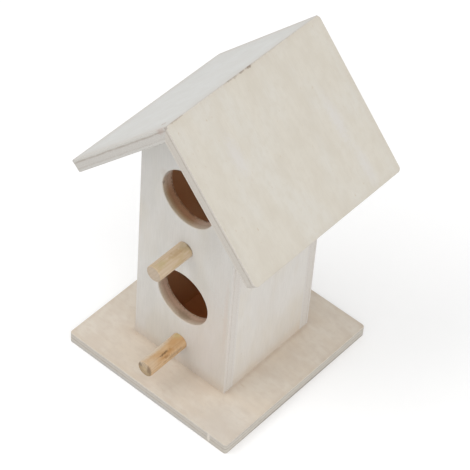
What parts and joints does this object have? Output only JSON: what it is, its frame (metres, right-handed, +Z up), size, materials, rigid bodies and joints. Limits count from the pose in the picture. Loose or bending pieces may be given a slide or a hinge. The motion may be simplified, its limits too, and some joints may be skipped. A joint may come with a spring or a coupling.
{
  "type": "bird nest box",
  "caption": "Small house-shaped nest box of pale plywood with two round entrances, two dowel perches, a square base and a pitched roof.",
  "frame": {"origin": "middle of the underside of the base plate, on the surface that the box stands on", "axes": "+X to the right seen from the front, -Y out of the front wall with the entrances, +Z up"},
  "size_m": [0.104, 0.1015, 0.1648],
  "materials": {
    "base_plywood": "sanded plywood, bare",
    "wall_plywood": "sanded plywood, pale and bare",
    "roof_plywood": "sanded plywood, pale and bare",
    "perch_dowel": "turned hardwood dowel, bare"
  },
  "bodies": {
    "root": {"base_plate": "base_plywood", "front_wall": "wall_plywood", "back_wall": "wall_plywood", "left_wall": "wall_plywood", "right_wall": "wall_plywood", "left_roof_panel": "roof_plywood", "right_roof_panel": "roof_plywood", "upper_perch": "perch_dowel", "lower_perch": "perch_dowel"}
  },
  "joints": []
}
